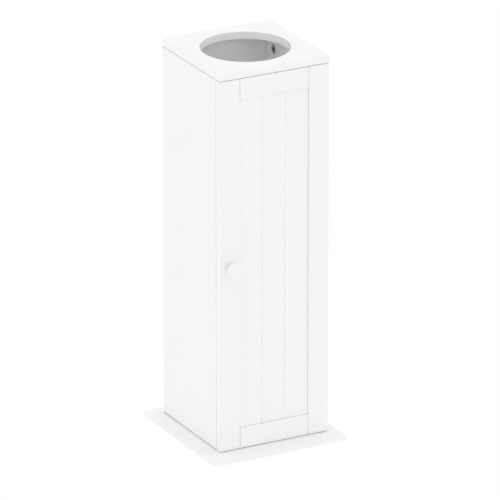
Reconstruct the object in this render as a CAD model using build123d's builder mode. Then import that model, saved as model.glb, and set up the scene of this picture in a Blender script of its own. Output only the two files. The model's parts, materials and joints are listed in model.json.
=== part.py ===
from build123d import *
import os

# Free-standing toilet roll storage cabinet: a slim upright box with one hinged, framed door and a
# round hole in its top, through which rolls are dropped and stacked inside.
# Millimetres. +Z is up and the door faces -Y. The origin lies on the floor, under the middle of the
# whole object's box, knob and hinge barrels included.

# ---------------------------------------------------------------- driving dimensions

# Whole cabinet, over the closed door and without the knob and the hinge barrels
cabinet_width = 185.0
cabinet_depth = 185.0
cabinet_height = 606.0

# Boards
side_board = 12.0
top_board = 12.0
bottom_board = 12.0
back_board = 3.0
door_board = 12.0
board_arris = 0.3
top_arris = 0.4

# Gaps around the door and under the boards
door_gap = 1.0
door_top_gap = 0.8
pad_height = 1.0
pad_radius = 4.5
pad_inset = 14.0

# Roll hole in the top
roll_hole_radius = 68.5

# Rebate along the outer top edge of each side, which shows as a fine line under the top
joint_line_height = 0.75
joint_line_depth = 2.0

# Back panel in its grooves
back_inset = 5.5
back_groove_depth = 4.0
back_groove_play = 0.2
panel_edge_play = 0.5

# Door frame and panel
stile_width = 34.0
rail_width = 33.0
shoulder_gap = 0.4
door_groove_depth = 6.0
door_groove_play = 0.35
door_panel_thick = 6.0
door_panel_recess = 2.0
plank_count = 3
plank_groove_width = 2.0

# Knob, turned: a thin collar on the door, a stem and a mushroom head
knob_collar_radius = 9.0
knob_collar_height = 1.0
knob_stem_radius = 5.0
knob_stem_height = 12.0
knob_head_radius = 12.5
knob_rim_height = 17.2
knob_projection = 23.0

# Knob screw, from the back of the door
knob_screw_radius = 2.0
knob_screw_play = 0.25
knob_screw_grip = 9.0
knob_screw_end_play = 0.5
knob_screw_head_radius = 3.5
knob_screw_head_height = 2.2
knob_screw_head_round = 0.9

# Cam fittings: a cam lock in one board pulls the head of a steel dowel that is screwed into the other
cam_radius = 7.5
cam_depth = 9.5
cam_play = 0.1
cam_chamfer = 0.3
cam_distance = 24.0
cam_setback = 32.0
cam_recess_length = 7.5
cam_recess_width = 3.0
cam_recess_depth = 2.0
bolt_thread_radius = 2.5
bolt_thread_length = 8.0
bolt_shank_radius = 3.0
bolt_shank_length = 15.5
bolt_neck_radius = 1.6
bolt_head_radius = 3.0
bolt_head_length = 4.0
bolt_hole_play = 0.4
bolt_seat_play = 0.3

# Wooden dowels that line the boards up
dowel_radius = 3.0
dowel_play = 0.05
dowel_in_face = 8.0
dowel_in_edge = 18.0
dowel_end_play = 0.5
dowel_chamfer = 0.6

# Butt hinges, let into the door's back and into the right side's front edge
hinge_inset = 60.0
leaf_height = 40.0
leaf_width = 10.0
leaf_thick = 0.9
leaf_spacing = 0.2
leaf_edge_play = 0.2
knuckle_count = 3
knuckle_gap = 0.2
barrel_radius = 2.2
barrel_offset = 2.6
tongue_lap = 0.8
pin_radius = 1.0
pin_clearance = 0.05
pin_head_radius = 1.7
pin_head_height = 0.7
hinge_screw_radius = 1.2
hinge_screw_spacing = 24.0
side_screw_length = 12.0
door_screw_length = 8.5

# Magnetic catch under the top, on the left side, and its strike plate on the door
catch_drop = 36.0
catch_block_length = 24.0
catch_ear_length = 9.0
catch_ear_thick = 3.0
catch_reach = 12.0
catch_depth = 14.0
catch_setback = 1.2
catch_round = 1.0
magnet_thick = 4.0
magnet_length = 18.0
pole_plate_thick = 1.0
pole_plate_depth = 11.0
magnet_step_back = 1.0
pocket_play = 0.1
strike_width = 10.0
strike_length = 32.0
strike_thick = 1.0
strike_gap = 0.1
catch_screw_radius = 1.25
catch_screw_length = 11.0
catch_screw_sink = 1.5
strike_screw_radius = 1.3
strike_screw_length = 8.5

# Cross recesses and points of the screws, as shares of the screw's own size, and their countersinks
recess_length_share = 1.1
recess_width_share = 0.25
recess_depth_share = 0.45
screw_point_share = 1.5
countersink_angle = 90.0

# ---------------------------------------------------------------- places worked out from them

left = -(cabinet_width + barrel_offset + barrel_radius) / 2
right = left + cabinet_width
middle = (left + right) / 2
front = (knob_projection - cabinet_depth) / 2
back = front + cabinet_depth
boards_foot = pad_height
top_underside = cabinet_height - top_board

door_back = front + door_board
carcass_front = door_back + door_gap
carcass_depth = back - carcass_front
carcass_middle = (carcass_front + back) / 2
back_face = back - back_inset - back_board
inner_left = left + side_board
inner_right = right - side_board
side_height = top_underside - boards_foot

door_top = top_underside - door_top_gap
door_height = door_top - boards_foot
door_middle = (boards_foot + door_top) / 2
stile_left = left + stile_width
stile_right = right - stile_width
panel_front = front + door_panel_recess
panel_middle = panel_front + door_panel_thick / 2
door_groove_width = door_panel_thick + door_groove_play
door_groove_middle = panel_front - door_groove_play + door_groove_width / 2
groove_foot = boards_foot + rail_width - door_groove_depth
groove_top = door_top - rail_width + door_groove_depth

cam_rows = (carcass_front + cam_setback, back - cam_setback)
cam_height = top_underside - cam_distance
bolt_chamber_radius = (bolt_head_radius**2 + (bolt_head_length / 2) ** 2) ** 0.5 + bolt_seat_play
bottom_mid = boards_foot + bottom_board / 2
side_mids = (left + side_board / 2, right - side_board / 2)

knob_x = left + stile_width / 2
knob_screw_length = door_board + knob_screw_grip

hinge_heights = {"lower": boards_foot + hinge_inset, "upper": door_top - hinge_inset}
barrel_x = right + barrel_offset
barrel_y = door_back + door_gap / 2
mortise_depth = leaf_thick - (door_gap - leaf_spacing) / 2
leaf_outer = right - leaf_edge_play
leaf_inner = leaf_outer - leaf_width
leaf_mid = (leaf_inner + leaf_outer) / 2
door_leaf_y = door_back - mortise_depth
side_leaf_y = carcass_front + mortise_depth - leaf_thick

catch_height = top_underside - catch_drop
catch_front = carcass_front + catch_setback
catch_x = inner_left + catch_reach / 2
strike_face = door_back + strike_thick
pole_front = strike_face + strike_gap


def facing_front(y):
    """Upright plane at depth y, seen from the front: its axes are X and Z, its normal is -Y."""
    return Plane(origin=(0, y, 0), x_dir=(1, 0, 0), z_dir=(0, -1, 0))


def facing_right(x):
    """Upright plane at x, seen from the right: its axes are Y and Z, its normal is +X."""
    return Plane(origin=(x, 0, 0), x_dir=(0, 1, 0), z_dir=(1, 0, 0))


def at(x, y, z, outward):
    """Location at a point, with its own +Z along outward."""
    return Plane(origin=(x, y, z), z_dir=outward).location


os.makedirs("parts", exist_ok=True)

# ---------------------------------------------------------------- carcass boards

with BuildPart() as top_panel:
    with BuildSketch(Plane.XY.offset(top_underside)):
        with Locations((middle, front + cabinet_depth / 2)):
            Rectangle(cabinet_width, cabinet_depth)
            Circle(roll_hole_radius, mode=Mode.SUBTRACT)
    extrude(amount=top_board)
    fillet(top_panel.edges(), top_arris)
    with BuildSketch(Plane.XY.offset(top_underside)):
        with Locations((middle, back_face + (back_board + back_groove_play) / 2)):
            Rectangle(inner_right - inner_left + 2 * back_groove_depth, back_board + back_groove_play)
    extrude(amount=back_groove_depth, mode=Mode.SUBTRACT)
    with BuildSketch(Plane.XY.offset(top_underside)):
        with Locations(*[(x, y) for x in side_mids for y in cam_rows]):
            Circle(bolt_thread_radius)
    extrude(amount=bolt_thread_length, mode=Mode.SUBTRACT)
    with BuildSketch(Plane.XY.offset(top_underside)):
        with Locations(*[(x, carcass_middle) for x in side_mids]):
            Circle(dowel_radius)
    extrude(amount=dowel_in_face + dowel_end_play, mode=Mode.SUBTRACT)
top_panel.part.label = "top_panel"
export_step(top_panel.part, "parts/top_panel.step")


def make_side_panel(name, outer, inward, carries_hinges):
    """Side board with its outside face at x = outer; inward is the sign of X towards the cabinet."""
    board_mid = outer + inward * side_board / 2
    inner = outer + inward * side_board
    groove_mid = (inner - inward * back_groove_depth / 2, back_face + (back_board + back_groove_play) / 2)
    with BuildPart() as side:
        with BuildSketch(Plane.XY.offset(boards_foot)):
            with Locations((board_mid, carcass_middle)):
                Rectangle(side_board, carcass_depth)
        extrude(amount=side_height)
        fillet(side.edges(), board_arris)
        # Rebate that shows as a line under the top
        with BuildSketch(facing_front(carcass_front)):
            with Locations((outer + inward * joint_line_depth / 2, top_underside - joint_line_height / 2)):
                Rectangle(joint_line_depth, joint_line_height)
        extrude(amount=-carcass_depth, mode=Mode.SUBTRACT)
        # Groove for the back panel
        with BuildSketch(Plane.XY.offset(boards_foot)):
            with Locations(groove_mid):
                Rectangle(back_groove_depth, back_board + back_groove_play)
        extrude(amount=side_height, mode=Mode.SUBTRACT)
        # Cam pockets in the inner face, and the holes down to them from the top edge
        with BuildSketch(facing_right(inner)):
            with Locations(*[(y, cam_height) for y in cam_rows]):
                Circle(cam_radius + cam_play)
        extrude(amount=-inward * cam_depth, mode=Mode.SUBTRACT)
        with BuildSketch(Plane.XY.offset(top_underside)):
            with Locations(*[(board_mid, y) for y in cam_rows]):
                Circle(bolt_shank_radius + bolt_hole_play)
        extrude(amount=-cam_distance, mode=Mode.SUBTRACT)
        # Hole for the wooden dowel in the top edge
        with BuildSketch(Plane.XY.offset(top_underside)):
            with Locations((board_mid, carcass_middle)):
                Circle(dowel_radius)
        extrude(amount=-dowel_in_edge - dowel_end_play, mode=Mode.SUBTRACT)
        # Holes in the inner face for the bottom panel's steel dowels and wooden dowel
        with BuildSketch(facing_right(inner)):
            with Locations(*[(y, bottom_mid) for y in cam_rows]):
                Circle(bolt_thread_radius)
        extrude(amount=-inward * bolt_thread_length, mode=Mode.SUBTRACT)
        with BuildSketch(facing_right(inner)):
            with Locations(((carcass_front + back_face) / 2, bottom_mid)):
                Circle(dowel_radius)
        extrude(amount=-inward * (dowel_in_face + dowel_end_play), mode=Mode.SUBTRACT)
        if carries_hinges:
            # Mortises for the hinge leaves and their screw holes in the front edge
            with BuildSketch(facing_front(carcass_front)):
                with Locations(*[((leaf_inner + outer) / 2, z) for z in hinge_heights.values()]):
                    Rectangle(outer - leaf_inner, leaf_height)
            extrude(amount=-mortise_depth, mode=Mode.SUBTRACT)
            with BuildSketch(facing_front(side_leaf_y)):
                with Locations(*hinge_screw_places()):
                    Circle(hinge_screw_radius)
            extrude(amount=-side_screw_length, mode=Mode.SUBTRACT)
        else:
            # Screw holes of the catch
            with BuildSketch(facing_right(inner)):
                with Locations(*[(catch_front + catch_depth / 2, z) for z in catch_screw_heights()]):
                    Circle(catch_screw_radius)
            extrude(amount=-inward * (catch_screw_length - catch_ear_thick), mode=Mode.SUBTRACT)
    side.part.label = name
    export_step(side.part, f"parts/{name}.step")


def hinge_screw_places():
    """Points (x, z) of the screws in either leaf of both hinges."""
    offsets = (-hinge_screw_spacing / 2, hinge_screw_spacing / 2)
    return [(leaf_mid, z + offset) for z in hinge_heights.values() for offset in offsets]


def catch_screw_heights():
    """Heights of the catch's two screws, in the middle of its ears."""
    reach = (catch_block_length + catch_ear_length) / 2
    return [catch_height - reach, catch_height + reach]


make_side_panel("left_side_panel", left, 1, False)
make_side_panel("right_side_panel", right, -1, True)

with BuildPart() as bottom_panel:
    with BuildSketch(Plane.XY.offset(boards_foot)):
        with Locations((middle, (carcass_front + back_face) / 2)):
            Rectangle(inner_right - inner_left, back_face - carcass_front)
    extrude(amount=bottom_board)
    fillet(bottom_panel.faces().sort_by(Axis.Y)[0].edges().filter_by(Axis.X), board_arris)
    # Cam pockets in the underside
    with BuildSketch(Plane.XY.offset(boards_foot)):
        with Locations(*[(x, y) for x in (inner_left + cam_distance, inner_right - cam_distance)
                         for y in cam_rows]):
            Circle(cam_radius + cam_play)
    extrude(amount=cam_depth, mode=Mode.SUBTRACT)
    # Holes in both end edges for the steel dowels and the wooden dowels
    for end, inward in ((inner_left, 1), (inner_right, -1)):
        with BuildSketch(facing_right(end)):
            with Locations(*[(y, bottom_mid) for y in cam_rows]):
                Circle(bolt_shank_radius + bolt_hole_play)
        extrude(amount=inward * cam_distance, mode=Mode.SUBTRACT)
        with BuildSketch(facing_right(end)):
            with Locations(((carcass_front + back_face) / 2, bottom_mid)):
                Circle(dowel_radius)
        extrude(amount=inward * (dowel_in_edge + dowel_end_play), mode=Mode.SUBTRACT)
bottom_panel.part.label = "bottom_panel"
export_step(bottom_panel.part, "parts/bottom_panel.step")

with BuildPart() as back_panel:
    with BuildSketch(Plane.XY.offset(boards_foot)):
        with Locations((middle, back_face + back_board / 2)):
            Rectangle(inner_right - inner_left + 2 * (back_groove_depth - panel_edge_play), back_board)
    extrude(amount=side_height + back_groove_depth - panel_edge_play)
back_panel.part.label = "back_panel"
export_step(back_panel.part, "parts/back_panel.step")

with BuildPart() as floor_pads:
    with BuildSketch():
        with Locations(*[(x, y) for x in side_mids for y in (carcass_front + pad_inset, back - pad_inset)]):
            Circle(pad_radius)
    extrude(amount=pad_height)
floor_pads.part.label = "floor_pads"
export_step(floor_pads.part, "parts/floor_pads.step")

# ---------------------------------------------------------------- fittings that join the boards

# One cam lock: its face at z = 0, flush with the board, its dowel comes in from its own +X
with BuildPart() as cam_lock:
    with BuildSketch():
        Circle(cam_radius)
    extrude(amount=-cam_depth + cam_play)
    chamfer(cam_lock.edges().group_by(Axis.Z)[-1], cam_chamfer)
    with BuildSketch():
        Rectangle(cam_recess_length, cam_recess_width)
        Rectangle(cam_recess_width, cam_recess_length)
    extrude(amount=-cam_recess_depth, mode=Mode.SUBTRACT)
    # Chamber for the dowel's head and slot for its neck, both open at the back of the cam
    with BuildSketch(Plane.XY.offset(-cam_depth)):
        Circle(bolt_chamber_radius)
        with Locations((cam_radius / 2, 0)):
            Rectangle(cam_radius, 2 * (bolt_neck_radius + bolt_seat_play))
    extrude(amount=cam_depth - side_board / 2 + bolt_head_radius + bolt_seat_play, mode=Mode.SUBTRACT)

# One steel dowel: the joint between the boards is at z = 0, its thread points up
with BuildPart() as cam_dowel:
    with BuildSketch(Plane.XZ):
        with BuildLine():
            Polyline(
                (0, bolt_thread_length),
                (bolt_thread_radius, bolt_thread_length),
                (bolt_thread_radius, 0),
                (bolt_shank_radius, 0),
                (bolt_shank_radius, -bolt_shank_length),
                (bolt_neck_radius, -bolt_shank_length),
                (bolt_neck_radius, -cam_distance + bolt_head_length / 2),
                (bolt_head_radius, -cam_distance + bolt_head_length / 2),
                (bolt_head_radius, -cam_distance - bolt_head_length / 2),
                (0, -cam_distance - bolt_head_length / 2),
                close=True,
            )
        make_face()
    revolve(axis=Axis.Z)

# One wooden dowel: the joint is at z = 0, its short end points up
with BuildPart() as wood_dowel:
    with BuildSketch(Plane.XY.offset(-dowel_in_edge)):
        Circle(dowel_radius - dowel_play)
    extrude(amount=dowel_in_edge + dowel_in_face)
    chamfer(wood_dowel.edges(), dowel_chamfer)


def make_group(name, single, places):
    """Copies of one small fitting at the given locations, kept as separate solids in one node."""
    with BuildPart() as group:
        with Locations(*places):
            add(single)
    group.part.label = name
    export_step(group.part, f"parts/{name}.step")


def cam_place(x, y, z, outward, towards_joint):
    """Location of a cam lock: its face looks along outward, its slot along towards_joint."""
    return Plane(origin=(x, y, z), x_dir=towards_joint, z_dir=outward).location


up = (0, 0, 1)
down = (0, 0, -1)
rightward = (1, 0, 0)
leftward = (-1, 0, 0)
frontward = (0, -1, 0)
backward = (0, 1, 0)

make_group(
    "top_cam_locks",
    cam_lock.part,
    [cam_place(inner_left, y, cam_height, rightward, up) for y in cam_rows]
    + [cam_place(inner_right, y, cam_height, leftward, up) for y in cam_rows],
)
make_group(
    "bottom_cam_locks",
    cam_lock.part,
    [cam_place(inner_left + cam_distance, y, boards_foot, down, leftward) for y in cam_rows]
    + [cam_place(inner_right - cam_distance, y, boards_foot, down, rightward) for y in cam_rows],
)
make_group(
    "top_cam_dowels",
    cam_dowel.part,
    [at(x, y, top_underside, up) for x in side_mids for y in cam_rows],
)
make_group(
    "bottom_cam_dowels",
    cam_dowel.part,
    [at(inner_left, y, bottom_mid, leftward) for y in cam_rows]
    + [at(inner_right, y, bottom_mid, rightward) for y in cam_rows],
)
make_group(
    "top_wood_dowels",
    wood_dowel.part,
    [at(x, carcass_middle, top_underside, up) for x in side_mids],
)
make_group(
    "bottom_wood_dowels",
    wood_dowel.part,
    [
        at(inner_left, (carcass_front + back_face) / 2, bottom_mid, leftward),
        at(inner_right, (carcass_front + back_face) / 2, bottom_mid, rightward),
    ],
)

# ---------------------------------------------------------------- door


def make_stile(name, outer, inward, carries_hinges):
    """Upright of the door frame with its outer edge at x = outer, grooved along its inner edge."""
    groove_mid = outer + inward * (stile_width - door_groove_depth / 2)
    with BuildPart() as stile:
        with BuildSketch(Plane.XY.offset(boards_foot)):
            with Locations((outer + inward * stile_width / 2, (front + door_back) / 2)):
                Rectangle(stile_width, door_board)
        extrude(amount=door_height)
        fillet(stile.edges(), board_arris)
        with BuildSketch(Plane.XY.offset(boards_foot)):
            with Locations((groove_mid, door_groove_middle)):
                Rectangle(door_groove_depth, door_groove_width)
        extrude(amount=door_height, mode=Mode.SUBTRACT)
        if carries_hinges:
            # Mortises for the hinge leaves and their screw holes in the back face
            with BuildSketch(facing_front(door_leaf_y)):
                with Locations(*[((leaf_inner + outer) / 2, z) for z in hinge_heights.values()]):
                    Rectangle(outer - leaf_inner, leaf_height)
            extrude(amount=-mortise_depth, mode=Mode.SUBTRACT)
            with BuildSketch(facing_front(door_leaf_y + leaf_thick)):
                with Locations(*hinge_screw_places()):
                    Circle(hinge_screw_radius)
            extrude(amount=door_screw_length, mode=Mode.SUBTRACT)
        else:
            # Through hole for the knob's screw and pilot hole for the strike plate's screw
            with BuildSketch(facing_front(front)):
                with Locations((knob_x, door_middle)):
                    Circle(knob_screw_radius + knob_screw_play)
            extrude(amount=-door_board, mode=Mode.SUBTRACT)
            with BuildSketch(facing_front(strike_face)):
                with Locations((catch_x, catch_height)):
                    Circle(strike_screw_radius)
            extrude(amount=strike_screw_length, mode=Mode.SUBTRACT)
    stile.part.label = name
    export_step(stile.part, f"parts/{name}.step")


def make_rail(name, foot, groove_z):
    """Cross piece of the door frame from height foot, with a groove for the panel that ends at
    groove_z + door_groove_depth and a stub tenon at each end in the stiles' grooves."""
    with BuildPart() as rail:
        with BuildSketch(Plane.XY.offset(foot)):
            with Locations((middle, (front + door_back) / 2)):
                Rectangle(stile_right - stile_left - 2 * shoulder_gap, door_board)
        extrude(amount=rail_width)
        fillet(rail.edges().filter_by(Axis.X), board_arris)
        with BuildSketch(Plane.XY.offset(foot + board_arris)):
            with Locations((middle, door_groove_middle)):
                Rectangle(stile_right - stile_left + 2 * door_groove_depth, door_groove_width)
        extrude(amount=rail_width - 2 * board_arris)
        with BuildSketch(Plane.XY.offset(groove_z)):
            with Locations((middle, door_groove_middle)):
                Rectangle(stile_right - stile_left + 2 * door_groove_depth, door_groove_width)
        extrude(amount=door_groove_depth, mode=Mode.SUBTRACT)
    rail.part.label = name
    export_step(rail.part, f"parts/{name}.step")


make_stile("door_left_stile", left, 1, False)
make_stile("door_right_stile", right, -1, True)
make_rail("door_bottom_rail", boards_foot, groove_foot)
make_rail("door_top_rail", door_top - rail_width, door_top - rail_width)

# Flat panel, loose in the frame's grooves, with V grooves that divide it into planks
plank_width = (stile_right - stile_left) / plank_count
with BuildPart() as door_panel:
    with BuildSketch(Plane.XY.offset(groove_foot + panel_edge_play)):
        with Locations((middle, panel_middle)):
            Rectangle(
                stile_right - stile_left + 2 * (door_groove_depth - panel_edge_play),
                door_panel_thick,
            )
        for index in range(1, plank_count):
            with BuildLine():
                groove_x = stile_left + index * plank_width
                Polyline(
                    (groove_x - plank_groove_width / 2, panel_front),
                    (groove_x, panel_front + plank_groove_width / 2),
                    (groove_x + plank_groove_width / 2, panel_front),
                    close=True,
                )
            make_face(mode=Mode.SUBTRACT)
    extrude(amount=groove_top - groove_foot - 2 * panel_edge_play)
door_panel.part.label = "door_panel"
export_step(door_panel.part, "parts/door_panel.step")

# ---------------------------------------------------------------- knob and its screw

# Half outline of the knob: X is the radius, Y the height above the door's front
knob_plane = Plane(origin=(knob_x, front, door_middle), x_dir=(1, 0, 0), z_dir=(0, 0, -1))
knob_axis = Axis((knob_x, front, door_middle), frontward)
square_out = (1, 0)
square_in = (-1, 0)
upright = (0, 1)
with BuildPart() as knob:
    with BuildSketch(knob_plane):
        with BuildLine():
            Polyline(
                (0, 0),
                (knob_collar_radius, 0),
                (knob_collar_radius, knob_collar_height),
                (knob_stem_radius, knob_collar_height),
                (knob_stem_radius, knob_stem_height),
            )
            Spline(
                (knob_stem_radius, knob_stem_height),
                (knob_head_radius, knob_rim_height),
                tangents=(square_out, upright),
            )
            Spline(
                (knob_head_radius, knob_rim_height),
                (0, knob_projection),
                tangents=(upright, square_in),
            )
            Line((0, knob_projection), (0, 0))
        make_face()
    revolve(axis=knob_axis)
    with BuildSketch(facing_front(front)):
        with Locations((knob_x, door_middle)):
            Circle(knob_screw_radius)
    extrude(amount=knob_screw_grip + knob_screw_end_play, mode=Mode.SUBTRACT)
knob.part.label = "knob"
export_step(knob.part, "parts/knob.step")

# Machine screw with a pan head that bears on the back of the stile
with BuildPart() as knob_screw:
    with BuildSketch(facing_front(door_back)):
        with Locations((knob_x, door_middle)):
            Circle(knob_screw_radius)
    extrude(amount=knob_screw_length)
    with BuildSketch(facing_front(door_back)):
        with Locations((knob_x, door_middle)):
            Circle(knob_screw_head_radius)
    extrude(amount=-knob_screw_head_height)
    fillet(knob_screw.edges().group_by(Axis.Y)[-1], knob_screw_head_round)
    with BuildSketch(facing_front(door_back + knob_screw_head_height)):
        with Locations((knob_x, door_middle)):
            Rectangle(knob_screw_head_radius, knob_screw_head_radius * recess_width_share)
            Rectangle(knob_screw_head_radius * recess_width_share, knob_screw_head_radius)
    extrude(amount=knob_screw_head_height / 2, mode=Mode.SUBTRACT)
knob_screw.part.label = "knob_screw"
export_step(knob_screw.part, "parts/knob_screw.step")

# ---------------------------------------------------------------- hinges


def knuckle_span(foot, index):
    """Lowest z and height of one knuckle of the hinge whose leaves start at height foot."""
    pitch = leaf_height / knuckle_count
    return foot + index * pitch + knuckle_gap / 2, pitch - knuckle_gap


def make_leaf(name, centre, leaf_y, own_knuckles, outward):
    """Hinge leaf with its front face at leaf_y, its own knuckles, and holes countersunk on outward."""
    foot = centre - leaf_height / 2
    leaf_mid_y = leaf_y + leaf_thick / 2
    tongue_end = barrel_x - barrel_radius + tongue_lap
    head_y = leaf_y if outward == frontward else leaf_y + leaf_thick
    screws = [(x, z) for x, z in hinge_screw_places() if abs(z - centre) < leaf_height / 2]
    with BuildPart() as leaf:
        with BuildSketch(Plane.XY.offset(foot)):
            with Locations((leaf_mid, leaf_mid_y)):
                Rectangle(leaf_width, leaf_thick)
        extrude(amount=leaf_height)
        for index in own_knuckles:
            low, height = knuckle_span(foot, index)
            with BuildSketch(Plane.XY.offset(low)):
                with Locations((barrel_x, barrel_y)):
                    Circle(barrel_radius)
                with Locations(((leaf_mid + tongue_end) / 2, leaf_mid_y)):
                    Rectangle(tongue_end - leaf_mid, leaf_thick)
                with Locations((barrel_x, barrel_y)):
                    Circle(pin_radius + pin_clearance, mode=Mode.SUBTRACT)
            extrude(amount=height)
        with Locations(*[at(x, head_y, z, outward) for x, z in screws]):
            CounterSinkHole(
                radius=hinge_screw_radius,
                counter_sink_radius=hinge_screw_radius + leaf_thick,
                counter_sink_angle=countersink_angle,
            )
    leaf.part.label = name
    export_step(leaf.part, f"parts/{name}.step")


def make_pin(name, centre):
    """Hinge pin with a flat button at each end of the barrel."""
    low = centre - leaf_height / 2 + knuckle_gap / 2
    high = centre + leaf_height / 2 - knuckle_gap / 2
    with BuildPart() as pin:
        with BuildSketch(Plane.XY.offset(low)):
            with Locations((barrel_x, barrel_y)):
                Circle(pin_radius)
        extrude(amount=high - low)
        for start, amount in ((low, -pin_head_height), (high, pin_head_height)):
            with BuildSketch(Plane.XY.offset(start)):
                with Locations((barrel_x, barrel_y)):
                    Circle(pin_head_radius)
            extrude(amount=amount)
        ends = pin.edges().group_by(Axis.Z)
        fillet(ends[0] + ends[-1], pin_head_height / 2)
    pin.part.label = name
    export_step(pin.part, f"parts/{name}.step")


for place, centre in hinge_heights.items():
    make_leaf(f"{place}_hinge_side_leaf", centre, side_leaf_y, (0, 2), frontward)
    make_leaf(f"{place}_hinge_door_leaf", centre, door_leaf_y, (1,), backward)
    make_pin(f"{place}_hinge_pin", centre)


def wood_screw(radius, sink, length):
    """Countersunk wood screw, its flat head at z = 0 and its point down, with a cross recess."""
    head_radius = radius + sink
    point = radius * screw_point_share
    with BuildPart() as screw:
        with BuildSketch(Plane.XZ):
            with BuildLine():
                Polyline(
                    (0, 0),
                    (head_radius, 0),
                    (radius, -sink),
                    (radius, -length + point),
                    (0, -length),
                    close=True,
                )
            make_face()
        revolve(axis=Axis.Z)
        with BuildSketch():
            Rectangle(head_radius * recess_length_share, head_radius * recess_width_share)
            Rectangle(head_radius * recess_width_share, head_radius * recess_length_share)
        extrude(amount=-head_radius * recess_depth_share, mode=Mode.SUBTRACT)
    return screw.part


make_group(
    "side_hinge_screws",
    wood_screw(hinge_screw_radius, leaf_thick, side_screw_length),
    [at(x, side_leaf_y, z, frontward) for x, z in hinge_screw_places()],
)
make_group(
    "door_hinge_screws",
    wood_screw(hinge_screw_radius, leaf_thick, door_screw_length),
    [at(x, door_leaf_y + leaf_thick, z, backward) for x, z in hinge_screw_places()],
)

# ---------------------------------------------------------------- magnetic catch

stack_thick = magnet_thick + 2 * pole_plate_thick
pocket_depth = pole_front + pole_plate_depth - catch_front
ear_face = inner_left + catch_ear_thick
catch_middle = catch_front + catch_depth / 2
catch_screw_places = [at(ear_face, catch_middle, z, rightward) for z in catch_screw_heights()]
with BuildPart() as catch_body:
    with BuildSketch(facing_front(catch_front)):
        with Locations((catch_x, catch_height)):
            Rectangle(catch_reach, catch_block_length)
        with Locations((inner_left + catch_ear_thick / 2, catch_height)):
            Rectangle(catch_ear_thick, catch_block_length + 2 * catch_ear_length)
    extrude(amount=-catch_depth)
    fillet(catch_body.faces().sort_by(Axis.X)[-1].edges(), catch_round)
    # Pocket for the magnet and its pole plates, open to the door
    with BuildSketch(facing_front(catch_front)):
        with Locations((catch_x, catch_height)):
            Rectangle(stack_thick + 2 * pocket_play, magnet_length + 2 * pocket_play)
    extrude(amount=-pocket_depth, mode=Mode.SUBTRACT)
    with Locations(*catch_screw_places):
        CounterSinkHole(
            radius=catch_screw_radius,
            counter_sink_radius=catch_screw_radius + catch_screw_sink,
            counter_sink_angle=countersink_angle,
        )
catch_body.part.label = "catch_body"
export_step(catch_body.part, "parts/catch_body.step")

with BuildPart() as catch_pole_plates:
    with BuildSketch(facing_front(pole_front)):
        with Locations(*[(catch_x + side * (stack_thick - pole_plate_thick) / 2, catch_height)
                         for side in (-1, 1)]):
            Rectangle(pole_plate_thick, magnet_length)
    extrude(amount=-pole_plate_depth)
catch_pole_plates.part.label = "catch_pole_plates"
export_step(catch_pole_plates.part, "parts/catch_pole_plates.step")

with BuildPart() as catch_magnet:
    with BuildSketch(facing_front(pole_front + magnet_step_back)):
        with Locations((catch_x, catch_height)):
            Rectangle(magnet_thick, magnet_length)
    extrude(amount=-(pole_plate_depth - magnet_step_back))
catch_magnet.part.label = "catch_magnet"
export_step(catch_magnet.part, "parts/catch_magnet.step")

make_group(
    "catch_screws",
    wood_screw(catch_screw_radius, catch_screw_sink, catch_screw_length),
    catch_screw_places,
)

with BuildPart() as strike_plate:
    with BuildSketch(facing_front(strike_face)):
        with Locations((catch_x, catch_height)):
            Rectangle(strike_width, strike_length)
    extrude(amount=strike_thick)
    with Locations(at(catch_x, strike_face, catch_height, backward)):
        CounterSinkHole(
            radius=strike_screw_radius,
            counter_sink_radius=strike_screw_radius + strike_thick,
            counter_sink_angle=countersink_angle,
        )
strike_plate.part.label = "strike_plate"
export_step(strike_plate.part, "parts/strike_plate.step")

make_group(
    "strike_screw",
    wood_screw(strike_screw_radius, strike_thick, strike_screw_length),
    [at(catch_x, strike_face, catch_height, backward)],
)
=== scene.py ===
import json
import math

import bmesh
import bpy
from mathutils import Matrix, Vector


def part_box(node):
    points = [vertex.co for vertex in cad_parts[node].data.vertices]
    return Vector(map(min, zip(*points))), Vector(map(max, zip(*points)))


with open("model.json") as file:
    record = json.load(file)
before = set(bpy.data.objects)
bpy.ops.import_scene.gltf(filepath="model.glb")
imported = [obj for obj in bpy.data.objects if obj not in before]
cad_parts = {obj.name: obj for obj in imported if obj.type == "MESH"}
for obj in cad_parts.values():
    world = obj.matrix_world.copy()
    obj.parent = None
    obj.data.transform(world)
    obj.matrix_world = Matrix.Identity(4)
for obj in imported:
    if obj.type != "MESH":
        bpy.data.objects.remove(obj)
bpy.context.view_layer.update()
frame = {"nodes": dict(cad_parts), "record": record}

scene = bpy.context.scene
MM = 0.001

# ---------------------------------------------------------------- the cabinet's own box

top_low, top_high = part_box("top_panel")
cabinet_left, cabinet_right = top_low.x, top_high.x
cabinet_front, cabinet_back = top_low.y, top_high.y
cabinet_top = top_high.z
cabinet_middle = Vector((
    (cabinet_left + cabinet_right) / 2,
    (cabinet_front + cabinet_back) / 2,
    cabinet_top / 2,
))

# ---------------------------------------------------------------- camera

VIEW_AZIMUTH = math.radians(-28.107)
VIEW_ELEVATION = math.radians(20.948)
VIEW_DISTANCE = 10.930
AIM_RIGHT = 6.98 * MM
AIM_UP = -21.34 * MM
LENS = 520.8
SENSOR = 36.0


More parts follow.
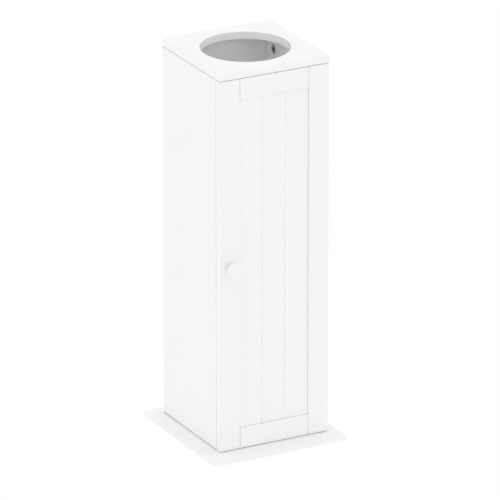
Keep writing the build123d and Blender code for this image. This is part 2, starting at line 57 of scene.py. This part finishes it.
def make_camera():
    """A long lens, looking at the door and the left side from a little above."""
    away = Vector((
        math.sin(VIEW_AZIMUTH) * math.cos(VIEW_ELEVATION),
        -math.cos(VIEW_AZIMUTH) * math.cos(VIEW_ELEVATION),
        math.sin(VIEW_ELEVATION),
    ))
    rightward = Vector((math.cos(VIEW_AZIMUTH), math.sin(VIEW_AZIMUTH), 0.0))
    upward = away.cross(rightward)
    data = bpy.data.cameras.new("camera")
    data.lens = LENS
    data.sensor_width = SENSOR
    camera = bpy.data.objects.new("camera", data)
    scene.collection.objects.link(camera)
    turn = Matrix((rightward, upward, away)).transposed().to_4x4()
    place = cabinet_middle + away * VIEW_DISTANCE + rightward * AIM_RIGHT + upward * AIM_UP
    camera.matrix_world = Matrix.Translation(place) @ turn
    scene.camera = camera


# ---------------------------------------------------------------- light

LIGHT_LEVEL = 0.976
LIGHT_SLANT = (0.012, 0.026, 0.016)  # how much stronger it gets towards +X, +Y and +Z
LIGHT_COLOUR = (1.0, 1.0, 1.0, 1.0)
LIGHT_BOUNCES = 24  # a deep white box stays light inside only if its light bounces often


def make_world():
    """A soft white surround, plain white wherever the camera or a reflection sees it."""
    world = bpy.data.worlds.new("studio")
    world.use_nodes = True
    scene.world = world
    tree = world.node_tree
    tree.nodes.clear()
    link = tree.links.new

    direction = tree.nodes.new("ShaderNodeTexCoord")
    slant = tree.nodes.new("ShaderNodeVectorMath")
    slant.operation = "DOT_PRODUCT"
    slant.inputs[1].default_value = LIGHT_SLANT
    link(direction.outputs["Generated"], slant.inputs[0])
    level = tree.nodes.new("ShaderNodeMath")
    level.operation = "ADD"
    level.inputs[1].default_value = LIGHT_LEVEL
    link(slant.outputs["Value"], level.inputs[0])
    light = tree.nodes.new("ShaderNodeBackground")
    light.inputs["Color"].default_value = LIGHT_COLOUR
    link(level.outputs[0], light.inputs["Strength"])
    white = tree.nodes.new("ShaderNodeBackground")
    white.inputs["Color"].default_value = LIGHT_COLOUR

    rays = tree.nodes.new("ShaderNodeLightPath")
    seen = rays.outputs["Is Camera Ray"]
    for kind in ("Is Glossy Ray", "Is Transmission Ray"):
        either = tree.nodes.new("ShaderNodeMath")
        either.operation = "MAXIMUM"
        link(seen, either.inputs[0])
        link(rays.outputs[kind], either.inputs[1])
        seen = either.outputs[0]
    mix = tree.nodes.new("ShaderNodeMixShader")
    link(seen, mix.inputs[0])
    link(light.outputs[0], mix.inputs[1])
    link(white.outputs[0], mix.inputs[2])
    out = tree.nodes.new("ShaderNodeOutputWorld")
    link(mix.outputs[0], out.inputs["Surface"])


# ---------------------------------------------------------------- floor

FLOOR_MARGINS = {"left": 33.2 * MM, "right": 15.4 * MM, "front": 45.4 * MM, "back": 19.1 * MM}
FLOOR_CORNER_STEPS = 10
FLOOR_CORNERS = (  # side and radius of each corner, anticlockwise from the right back
    ("right", "back", 6.0 * MM),
    ("left", "back", 18.0 * MM),
    ("left", "front", 3.0 * MM),
    ("right", "front", 13.0 * MM),
)
RIGHT_ANGLE = math.pi / 2


def make_floor(material):
    """A small pale floor card under the cabinet, with rounded corners."""
    edges = {
        "left": cabinet_left - FLOOR_MARGINS["left"],
        "right": cabinet_right + FLOOR_MARGINS["right"],
        "front": cabinet_front - FLOOR_MARGINS["front"],
        "back": cabinet_back + FLOOR_MARGINS["back"],
    }
    mesh = bmesh.new()
    ring = []
    for turns, (side, end, radius) in enumerate(FLOOR_CORNERS):
        centre_x = edges[side] + (radius if side == "left" else -radius)
        centre_y = edges[end] + (radius if end == "front" else -radius)
        for step in range(FLOOR_CORNER_STEPS + 1):
            angle = RIGHT_ANGLE * (turns + step / FLOOR_CORNER_STEPS)
            point = (centre_x + radius * math.cos(angle), centre_y + radius * math.sin(angle), 0.0)
            ring.append(mesh.verts.new(point))
    mesh.faces.new(ring)
    data = bpy.data.meshes.new("floor")
    mesh.to_mesh(data)
    mesh.free()
    floor = bpy.data.objects.new("floor", data)
    floor.data.materials.append(material)
    scene.collection.objects.link(floor)


# ---------------------------------------------------------------- colours and painted shade


def grey(level):
    return (level, level, level)


def tinted(level, tint):
    return tuple(level * share for share in tint)


WHITE = 0.95
PLASTIC_WHITE = 0.85
PAINT_CLOUD_TINT = (0.994, 0.994, 0.99)  # the paint's darker clouds, against its own level
PLASTIC_TINT = (1.0, 1.0, 0.985)
# Colours that the painted shade below darkens the base colour towards.
GREY_SHADE = grey(0.2)
BLACK_SHADE = grey(0.02)

BRIGHT_ZINC = {
    "dark": (0.52, 0.52, 0.53),
    "light": (0.66, 0.66, 0.67),
    "low": 0.24,
    "high": 0.36,
    "grain": 0.15 * MM,
}
SATIN_NICKEL = {
    "dark": (0.56, 0.545, 0.515),
    "light": (0.66, 0.645, 0.615),
    "low": 0.26,
    "high": 0.36,
    "grain": 0.12 * MM,
}

# Painted shade: an ambient occlusion node darkens the base colour in the joints and gaps of the boards
# and door, round the knob, in the inside corners, in the cam recess and on the floor round the cabinet's
# foot.
CREVICE_SAMPLES = 12
HAZE_STEEPNESS = 1.5
JOINT_PAINTED_SHADE = {"reach": 10.0 * MM, "share": 0.43, "steepness": 4.0, "haze": 0.08}
KNOB_PAINTED_SHADE = {"reach": 12.0 * MM, "share": 0.45, "steepness": 2.0}
CORNER_PAINTED_SHADE = {"reach": 12.0 * MM, "share": 0.4, "steepness": 2.0}
METAL_PAINTED_SHADE = {"reach": 4.0 * MM, "share": 2.0, "steepness": 1.5, "shade_colour": BLACK_SHADE}
FLOOR_PAINTED_SHADE = {"reach": 45.0 * MM, "share": 0.11, "steepness": 1.2}

EDGE = 1.2 * MM  # the rim of a gap that shows while the door is shut
FADE = 0.5 * MM
DOOR_RELIEF = 6.0 * MM  # the door's recess and grooves lie within this of its face

# ---------------------------------------------------------------- materials


class Finish:
    """A node material built up from object coordinates, in metres."""

    def __init__(self, name):
        self.material = bpy.data.materials.new(name)
        self.material.use_nodes = True
        self.tree = self.material.node_tree
        self.shader = self.tree.nodes["Principled BSDF"]
        self.coordinates = self.tree.nodes.new("ShaderNodeTexCoord").outputs["Object"]

    def link(self, source, target):
        self.tree.links.new(source, target)

    def drawn_out(self, share):
        """Object coordinates in which a noise's grains are longer along Z: share is their scale there."""
        node = self.tree.nodes.new("ShaderNodeMapping")
        node.inputs["Scale"].default_value = (1.0, 1.0, share)
        self.link(self.coordinates, node.inputs["Vector"])
        return node.outputs["Vector"]

    def noise(self, size, detail=2.0, roughness=0.5, vector=None):
        """Noise whose grains are about size across."""
        node = self.tree.nodes.new("ShaderNodeTexNoise")
        node.inputs["Scale"].default_value = 1.0 / size
        node.inputs["Detail"].default_value = detail
        node.inputs["Roughness"].default_value = roughness
        self.link(vector or self.coordinates, node.inputs["Vector"])
        return node.outputs["Fac"]

    def cells(self, size):
        """Distance to the nearest of scattered points that are about size apart."""
        node = self.tree.nodes.new("ShaderNodeTexVoronoi")
        node.inputs["Scale"].default_value = 1.0 / size
        self.link(self.coordinates, node.inputs["Vector"])
        return node.outputs["Distance"]

    def mapped(self, value, low, high, start=0.3, end=0.7):
        """value, spread from start..end onto low..high and held there beyond them."""
        node = self.tree.nodes.new("ShaderNodeMapRange")
        node.inputs["From Min"].default_value = start
        node.inputs["From Max"].default_value = end
        node.inputs["To Min"].default_value = low
        node.inputs["To Max"].default_value = high
        self.link(value, node.inputs["Value"])
        return node.outputs["Result"]

    def math(self, operation, *values):
        """A Math node over sockets and plain numbers."""
        node = self.tree.nodes.new("ShaderNodeMath")
        node.operation = operation
        for value, socket in zip(values, node.inputs):
            if isinstance(value, float):
                socket.default_value = value
            else:
                self.link(value, socket)
        return node.outputs[0]

    def added(self, first, second, share):
        """first plus share times second."""
        return self.math("MULTIPLY_ADD", second, share, first)

    def past(self, axis, start, end):
        """0 before start and 1 past end, either way along an axis of the object coordinates."""
        node = self.tree.nodes.new("ShaderNodeSeparateXYZ")
        self.link(self.coordinates, node.inputs["Vector"])
        return self.mapped(node.outputs[axis], 0.0, 1.0, start, end)

    def colour(self, factor, dark, light, start=0.35, end=0.65):
        """Base colour that runs from dark to light with factor."""
        node = self.tree.nodes.new("ShaderNodeValToRGB")
        node.color_ramp.elements[0].position = start
        node.color_ramp.elements[0].color = (*dark, 1.0)
        node.color_ramp.elements[1].position = end
        node.color_ramp.elements[1].color = (*light, 1.0)
        self.link(factor, node.inputs["Fac"])
        self.link(node.outputs["Color"], self.shader.inputs["Base Color"])

    def painted_shade(self, reach, share, steepness, haze=0.0, shade_colour=GREY_SHADE, where=None):
        """Painted shade: base colour darkened where an ambient occlusion node finds surfaces closing in
        within reach:
        by share deep in a gap, by haze around it. where masks it, from 0 to 1."""
        closed = self.tree.nodes.new("ShaderNodeAmbientOcclusion")
        closed.samples = CREVICE_SAMPLES
        closed.inputs["Distance"].default_value = reach
        hidden = self.math("SUBTRACT", 1.0, closed.outputs["AO"])
        soft = self.math("MULTIPLY", self.math("POWER", hidden, HAZE_STEEPNESS), haze)
        amount = self.math("MULTIPLY_ADD", self.math("POWER", hidden, steepness), share, soft)
        if where:
            amount = self.math("MULTIPLY", amount, where)
        node = self.tree.nodes.new("ShaderNodeMix")
        node.data_type = "RGBA"
        # the base colour before the painted shade
        unshaded = self.shader.inputs["Base Color"].links[0].from_socket
        self.link(amount, node.inputs["Factor"])
        self.link(unshaded, node.inputs["A"])
        node.inputs["B"].default_value = (*shade_colour, 1.0)
        self.link(node.outputs["Result"], self.shader.inputs["Base Color"])

    def roughness(self, value, low, high):
        """Roughness that runs from low to high with a noise."""
        self.link(self.mapped(value, low, high), self.shader.inputs["Roughness"])

    def bump(self, height, depth, strength=1.0):
        """Relief of the given depth from a height of 0 to 1."""
        node = self.tree.nodes.new("ShaderNodeBump")
        node.inputs["Strength"].default_value = strength
        node.inputs["Distance"].default_value = depth
        self.link(height, node.inputs["Height"])
        self.link(node.outputs["Normal"], self.shader.inputs["Normal"])

    def set(self, **values):
        """Fixed values on the shader's own sockets, such as Metallic."""
        for name, value in values.items():
            self.shader.inputs[name.replace("_", " ")].default_value = value


def board_shade_mask(finish):
    """Mask for the painted shade: 1 where the carcass shows while the door is shut, 0 on the edges that
    the shut door covers.
    """
    board_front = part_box("right_side_panel")[0].y
    inward = finish.math(
        "MULTIPLY",
        finish.past("X", cabinet_left + EDGE, cabinet_left + EDGE + FADE),
        finish.past("X", cabinet_right - EDGE, cabinet_right - EDGE - FADE),
    )
    behind_door = finish.math(
        "MULTIPLY",
        finish.past("Y", cabinet_front + EDGE, cabinet_front + EDGE + FADE),
        finish.past("Y", board_front + EDGE, board_front + EDGE - FADE),
    )
    return finish.math("SUBTRACT", 1.0, finish.math("MULTIPLY", inward, behind_door))


def door_shade_mask(finish):
    """Mask for the painted shade: 1 on the door's face, recess and grooves, 0 further back."""
    return finish.past("Y", cabinet_front + DOOR_RELIEF + FADE, cabinet_front + DOOR_RELIEF)


def satin_paint(name, level, crevices, peel=1.4 * MM, low=0.36, high=0.46, shows=None):
    """Sprayed satin white: a faint orange peel, soft cloudiness, uneven gloss and painted shade in its
    crevices.
    """
    finish = Finish(name)
    cloud = finish.noise(size=60.0 * MM, detail=3.0)
    finish.colour(cloud, dark=tinted(level, PAINT_CLOUD_TINT), light=grey(level))
    # painted shade in the joints, gaps, recesses and round the knob, masked by shows
    finish.painted_shade(**crevices, where=shows and shows(finish))
    finish.roughness(finish.noise(size=25.0 * MM, detail=4.0), low=low, high=high)
    fine = finish.noise(size=0.35 * MM, detail=1.0)
    relief = finish.added(finish.noise(size=peel), fine, share=0.3)
    finish.bump(relief, depth=0.02 * MM, strength=0.5)
    return finish.material


def hardboard_paint(name, level):
    """Thin white lacquer over hardboard, whose fibres show through a little."""
    finish = Finish(name)
    fibres = finish.noise(size=1.0 * MM, detail=4.0, vector=finish.drawn_out(share=0.25))
    cloud = finish.added(finish.noise(size=45.0 * MM, detail=3.0), fibres, share=0.1)
    finish.colour(cloud, dark=grey(level * 0.985), light=grey(level), end=0.75)
    # painted shade in the cabinet's inside corners
    finish.painted_shade(**CORNER_PAINTED_SHADE)
    finish.roughness(fibres, low=0.45, high=0.6)
    finish.bump(fibres, depth=0.04 * MM, strength=0.5)
    return finish.material


def plated_metal(name, dark, light, low, high, grain):
    """Plated steel or zinc with a fine directional grain."""
    finish = Finish(name)
    brushed = finish.noise(size=grain, detail=3.0, vector=finish.drawn_out(share=0.06))
    cloud = finish.added(brushed, finish.noise(size=6.0 * MM), share=0.25)
    finish.colour(cloud, dark=dark, light=light, end=0.9)
    finish.roughness(brushed, low=low, high=high)
    finish.bump(brushed, depth=0.008 * MM, strength=0.4)
    finish.set(Metallic=1.0)
    return finish.material


def die_cast_zinc(name):
    """Dull grey casting with a pebbled skin, and painted shade darkening its hollows."""
    finish = Finish(name)
    pebbles = finish.noise(size=0.5 * MM, detail=4.0)
    finish.colour(pebbles, dark=(0.44, 0.44, 0.445), light=(0.54, 0.54, 0.545))
    # painted shade in the cross recess and other hollows
    finish.painted_shade(**METAL_PAINTED_SHADE)
    finish.roughness(finish.noise(size=2.0 * MM), low=0.4, high=0.6)
    finish.bump(pebbles, depth=0.03 * MM, strength=0.6)
    finish.set(Metallic=0.5)
    return finish.material


def bare_beech(name):
    """Turned beech: warm, with short dark flecks along the peg."""
    finish = Finish(name)
    flecks = finish.noise(size=0.6 * MM, detail=5.0, vector=finish.drawn_out(share=0.2))
    finish.colour(flecks, dark=(0.42, 0.25, 0.13), light=(0.62, 0.42, 0.25))
    finish.roughness(flecks, low=0.6, high=0.75)
    finish.bump(flecks, depth=0.03 * MM)
    return finish.material


def pressed_felt(name):
    """Grey felt, with fibres standing up a little."""
    finish = Finish(name)
    fibres = finish.noise(size=0.3 * MM, detail=6.0, roughness=0.7)
    finish.colour(fibres, dark=grey(0.07), light=grey(0.17))
    finish.roughness(fibres, low=0.9, high=1.0)
    finish.bump(fibres, depth=0.15 * MM)
    finish.set(Sheen_Weight=0.3)
    return finish.material


def moulded_plastic(name, level):
    """White moulded plastic with a fine spark-eroded texture."""
    finish = Finish(name)
    texture = finish.noise(size=0.25 * MM)
    finish.colour(finish.noise(size=8.0 * MM), dark=grey(level * 0.97), light=tinted(level, PLASTIC_TINT))
    finish.roughness(texture, low=0.38, high=0.5)
    finish.bump(texture, depth=0.02 * MM, strength=0.6)
    return finish.material


def sintered_ferrite(name):
    """Dark ceramic magnet with a fine grain and ground pits."""
    finish = Finish(name)
    pits = finish.cells(size=0.7 * MM)
    finish.colour(finish.noise(size=0.4 * MM, detail=4.0), dark=grey(0.015), light=grey(0.04))
    finish.roughness(pits, low=0.45, high=0.65)
    finish.bump(pits, depth=0.02 * MM, strength=0.5)
    return finish.material


def pale_floor(name):
    """Pale matt floor with the faintest unevenness, and painted shade round the cabinet's foot."""
    finish = Finish(name)
    finish.colour(finish.noise(size=80.0 * MM), dark=grey(0.957), light=grey(0.962))
    # painted shade on the floor near the cabinet
    finish.painted_shade(**FLOOR_PAINTED_SHADE)
    finish.roughness(finish.noise(size=40.0 * MM), low=0.85, high=0.95)
    finish.bump(finish.noise(size=1.5 * MM), depth=0.01 * MM, strength=0.3)
    finish.set(Specular_IOR_Level=0.2)
    return finish.material


finishes = {
    "painted_board": satin_paint("painted_board", WHITE, JOINT_PAINTED_SHADE, shows=board_shade_mask),
    "painted_door": satin_paint("painted_door", WHITE, JOINT_PAINTED_SHADE, shows=door_shade_mask),
    # painted shade in the knob's neck
    "painted_knob": satin_paint("painted_knob", WHITE, KNOB_PAINTED_SHADE, peel=0.9 * MM, low=0.28, high=0.38),
    "painted_hardboard": hardboard_paint("painted_hardboard", WHITE * 0.99),
    "cam_zinc": die_cast_zinc("cam_zinc"),
    "plated_steel": plated_metal("plated_steel", **BRIGHT_ZINC),
    "hinge_nickel": plated_metal("hinge_nickel", **SATIN_NICKEL),
    "beech": bare_beech("beech"),
    "pad_felt": pressed_felt("pad_felt"),
    "catch_plastic": moulded_plastic("catch_plastic", PLASTIC_WHITE),
    "magnet_ferrite": sintered_ferrite("magnet_ferrite"),
}


def paint_nodes():
    """Gives every CAD node the finish of its own material slot."""
    for part in frame["record"]["subparts"]:
        body = frame["nodes"][part["node"]]
        body.data.materials.clear()
        body.data.materials.append(finishes[part["material_slot"]])


# ---------------------------------------------------------------- the whole scene

make_camera()
make_world()
make_floor(pale_floor("pale_floor"))
paint_nodes()

scene.view_settings.view_transform = "Standard"
scene.cycles.diffuse_bounces = LIGHT_BOUNCES
scene.cycles.max_bounces = LIGHT_BOUNCES
